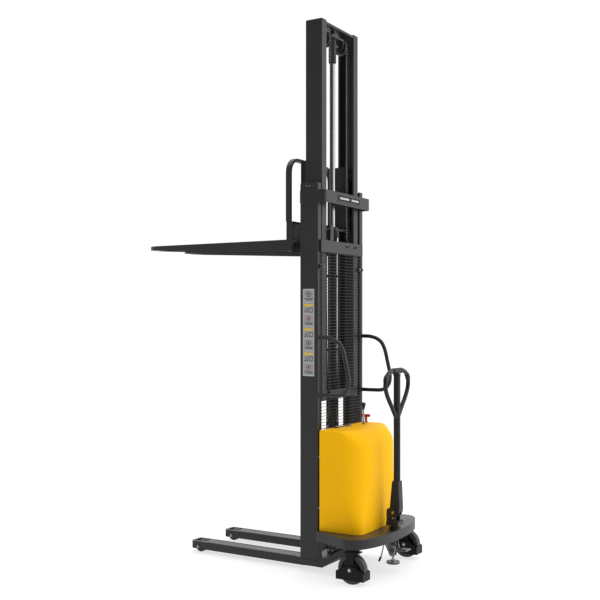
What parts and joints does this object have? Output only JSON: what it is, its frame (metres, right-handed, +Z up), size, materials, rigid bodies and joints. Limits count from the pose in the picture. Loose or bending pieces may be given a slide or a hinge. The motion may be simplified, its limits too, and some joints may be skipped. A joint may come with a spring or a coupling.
{
  "type": "walkie stacker",
  "caption": "Pedestrian pallet stacker: telescoping two-stage mast raised part way, fork carriage with backrest, straddled legs, yellow power pack cover, steering tiller and castor wheels.",
  "frame": {"origin": "middle of the footprint on the floor that the wheels stand on", "axes": "+Z up, +Y towards the fork tips, +X to the operator's right"},
  "size_m": [0.852, 1.863, 3.468],
  "materials": {
    "frame_paint": "satin charcoal powder coat",
    "guard_wire": "satin black coat on welded wire",
    "zinc": "zinc plated steel",
    "roller_polymer": "dark nylon",
    "black_paint": "satin black paint",
    "dark_plastic": "moulded polypropylene",
    "yellow_cover": "smooth moulded yellow shell",
    "gauge_plastic": "grey plastic with a dark window",
    "red_plastic": "moulded red plastic",
    "black_plastic": "moulded black plastic",
    "chrome": "hard chrome plated and polished",
    "bearing_steel": "turned bearing steel",
    "chain_steel": "oiled steel leaf chain",
    "rubber_grip": "ribbed grip",
    "wheel_polymer": "dark polyurethane tread on a nylon hub",
    "brake_rubber": "black rubber pad on a zinc disc"
  },
  "bodies": {
    "chassis": {"outer_mast_left": "frame_paint", "outer_mast_right": "frame_paint", "capacity_band": "frame_paint", "mast_cross_plate": "frame_paint", "mast_guard": "guard_wire", "cylinder_bracket": "frame_paint", "base_frame": "frame_paint", "deck": "frame_paint", "leg_left": "frame_paint", "load_axle_left": "zinc", "leg_right": "frame_paint", "load_axle_right": "zinc", "pump_motor": "black_paint", "hydraulic_tank": "dark_plastic", "battery": "dark_plastic", "cover": "yellow_cover", "battery_gauge": "gauge_plastic", "grab_handle_left": "frame_paint", "grab_handle_right": "frame_paint", "lift_cylinder_barrel": "black_paint", "chain_rear_left": "chain_steel", "chain_rear_right": "chain_steel", "steering_bearing": "zinc", "brake_bracket": "zinc"},
    "inner_mast": {"inner_mast_left": "frame_paint", "inner_mast_right": "frame_paint", "inner_top_tie": "frame_paint", "inner_bottom_tie": "frame_paint", "crosshead": "frame_paint", "piston_rod": "chrome", "chain_front_left": "chain_steel", "chain_front_right": "chain_steel"},
    "carriage": {"carriage_frame": "frame_paint", "backrest_hoop": "frame_paint", "fork_left": "frame_paint", "fork_right": "frame_paint"},
    "sheave_left": {"chain_sheave_left": "bearing_steel"},
    "sheave_right": {"chain_sheave_right": "bearing_steel"},
    "roller_lower_left": {"carriage_roller_lower_left": "bearing_steel"},
    "roller_upper_left": {"carriage_roller_upper_left": "bearing_steel"},
    "roller_lower_right": {"carriage_roller_lower_right": "bearing_steel"},
    "roller_upper_right": {"carriage_roller_upper_right": "bearing_steel"},
    "tiller_swivel": {"tiller_base": "frame_paint"},
    "tiller": {"tiller_arm": "black_paint", "tiller_grip": "rubber_grip"},
    "yoke_left": {"steer_yoke_left": "frame_paint", "toe_guard_left": "black_paint"},
    "yoke_right": {"steer_yoke_right": "frame_paint", "toe_guard_right": "black_paint"},
    "wheel_left": {"steer_wheel_left": "wheel_polymer"},
    "wheel_right": {"steer_wheel_right": "wheel_polymer"},
    "link": {"steering_link": "zinc"},
    "load_wheel_left": {"load_roller_left": "roller_polymer"},
    "load_wheel_right": {"load_roller_right": "roller_polymer"},
    "brake_treadle": {"brake_pedal": "zinc"},
    "brake_plunger": {"brake_foot": "brake_rubber"},
    "brake_release": {"brake_release_lever": "black_plastic"},
    "valve_lever": {"lowering_lever": "black_plastic"},
    "key": {"ignition_key": "zinc"},
    "disconnect": {"disconnect_handle": "red_plastic"}
  },
  "joints": [
    {"name": "mast_lift", "type": "slide", "parent": "chassis", "child": "inner_mast", "axis": [0, 0, 1], "range_m": [-0.996, 0.7], "deforming": ["chain_rear_left", "chain_rear_right"]},
    {"name": "carriage_lift", "type": "slide", "parent": "inner_mast", "child": "carriage", "axis": [0, 0, 1], "range_m": [-0.996, 0.7], "deforming": ["chain_front_left", "chain_front_right"]},
    {"name": "sheave_spin_left", "type": "hinge", "parent": "inner_mast", "child": "sheave_left", "pos_m": [-0.107, -0.389, 3.37], "axis": [1, 0, 0], "continuous": true},
    {"name": "sheave_spin_right", "type": "hinge", "parent": "inner_mast", "child": "sheave_right", "pos_m": [0.107, -0.389, 3.37], "axis": [1, 0, 0], "continuous": true},
    {"name": "roller_spin_lower_left", "type": "hinge", "parent": "carriage", "child": "roller_lower_left", "pos_m": [-0.212, -0.389, 2.24], "axis": [1, 0, 0], "continuous": true},
    {"name": "roller_spin_lower_right", "type": "hinge", "parent": "carriage", "child": "roller_lower_right", "pos_m": [0.212, -0.389, 2.24], "axis": [1, 0, 0], "continuous": true},
    {"name": "roller_spin_upper_left", "type": "hinge", "parent": "carriage", "child": "roller_upper_left", "pos_m": [-0.212, -0.389, 2.54], "axis": [1, 0, 0], "continuous": true},
    {"name": "roller_spin_upper_right", "type": "hinge", "parent": "carriage", "child": "roller_upper_right", "pos_m": [0.212, -0.389, 2.54], "axis": [1, 0, 0], "continuous": true},
    {"name": "tiller_steer", "type": "hinge", "parent": "chassis", "child": "tiller_swivel", "pos_m": [0, -0.837, 0.29], "axis": [0, 0, 1], "range_deg": [-55, 55]},
    {"name": "tiller_tilt", "type": "hinge", "parent": "tiller_swivel", "child": "tiller", "pos_m": [0, -0.845, 0.37], "axis": [1, 0, 0], "range_deg": [0, 80], "stiffness_Nm_per_rad": 60, "springref_deg": -28.65},
    {"name": "steer_left", "type": "hinge", "parent": "chassis", "child": "yoke_left", "pos_m": [-0.381, -0.741, 0.2], "axis": [0, 0, 1], "range_deg": [-55, 55]},
    {"name": "steer_right", "type": "hinge", "parent": "chassis", "child": "yoke_right", "pos_m": [0.381, -0.741, 0.2], "axis": [0, 0, 1], "range_deg": [-55, 55]},
    {"name": "steer_link_pivot", "type": "hinge", "parent": "yoke_left", "child": "link", "pos_m": [-0.381, -0.717, 0.246], "axis": [0, 0, 1], "range_deg": [-55, 55]},
    {"name": "wheel_spin_left", "type": "hinge", "parent": "yoke_left", "child": "wheel_left", "pos_m": [-0.381, -0.741, 0.09], "axis": [1, 0, 0], "continuous": true},
    {"name": "wheel_spin_right", "type": "hinge", "parent": "yoke_right", "child": "wheel_right", "pos_m": [0.381, -0.741, 0.09], "axis": [1, 0, 0], "continuous": true},
    {"name": "load_roller_spin_left", "type": "hinge", "parent": "chassis", "child": "load_wheel_left", "pos_m": [-0.193, 0.515, 0.039], "axis": [1, 0, 0], "continuous": true},
    {"name": "load_roller_spin_right", "type": "hinge", "parent": "chassis", "child": "load_wheel_right", "pos_m": [0.193, 0.515, 0.039], "axis": [1, 0, 0], "continuous": true},
    {"name": "brake_pedal_press", "type": "hinge", "parent": "chassis", "child": "brake_treadle", "pos_m": [0, -0.843, 0.162], "axis": [1, 0, 0], "range_deg": [0, 30]},
    {"name": "brake_foot_drop", "type": "slide", "parent": "chassis", "child": "brake_plunger", "axis": [0, 0, -1], "range_m": [0, 0.048], "stiffness_N_per_m": 1500, "springref_m": -0.026},
    {"name": "brake_release", "type": "hinge", "parent": "chassis", "child": "brake_release", "pos_m": [-0.028, -0.779, 0.182], "axis": [1, 0, 0], "range_deg": [0, 25], "stiffness_Nm_per_rad": 1.5, "springref_deg": -11.46},
    {"name": "valve_lever_tilt", "type": "hinge", "parent": "chassis", "child": "valve_lever", "pos_m": [0.15, -0.538, 0.905], "axis": [1, 0, 0], "range_deg": [-20, 20], "stiffness_Nm_per_rad": 3},
    {"name": "key_turn", "type": "hinge", "parent": "chassis", "child": "key", "pos_m": [-0.125, -0.489, 0.9], "axis": [0, 0, 1], "range_deg": [0, 90]},
    {"name": "disconnect_pull", "type": "slide", "parent": "chassis", "child": "disconnect", "axis": [0, 0, 1], "range_m": [0, 0.02]}
  ],
  "couplings": [
    {"joint": "carriage_lift", "follows": "mast_lift", "ratio": 1},
    {"joint": "steer_left", "follows": "tiller_steer", "ratio": 1},
    {"joint": "steer_right", "follows": "tiller_steer", "ratio": 1},
    {"joint": "steer_link_pivot", "follows": "tiller_steer", "ratio": -1},
    {"joint": "brake_pedal_press", "follows": "brake_foot_drop", "rad_per_m": 10.9},
    {"joint": "sheave_spin_left", "follows": "mast_lift", "rad_per_m": 20.408},
    {"joint": "sheave_spin_right", "follows": "mast_lift", "rad_per_m": 20.408},
    {"joint": "roller_spin_lower_left", "follows": "mast_lift", "rad_per_m": 21.505},
    {"joint": "roller_spin_lower_right", "follows": "mast_lift", "rad_per_m": 21.505},
    {"joint": "roller_spin_upper_left", "follows": "mast_lift", "rad_per_m": -21.505},
    {"joint": "roller_spin_upper_right", "follows": "mast_lift", "rad_per_m": -21.505}
  ]
}
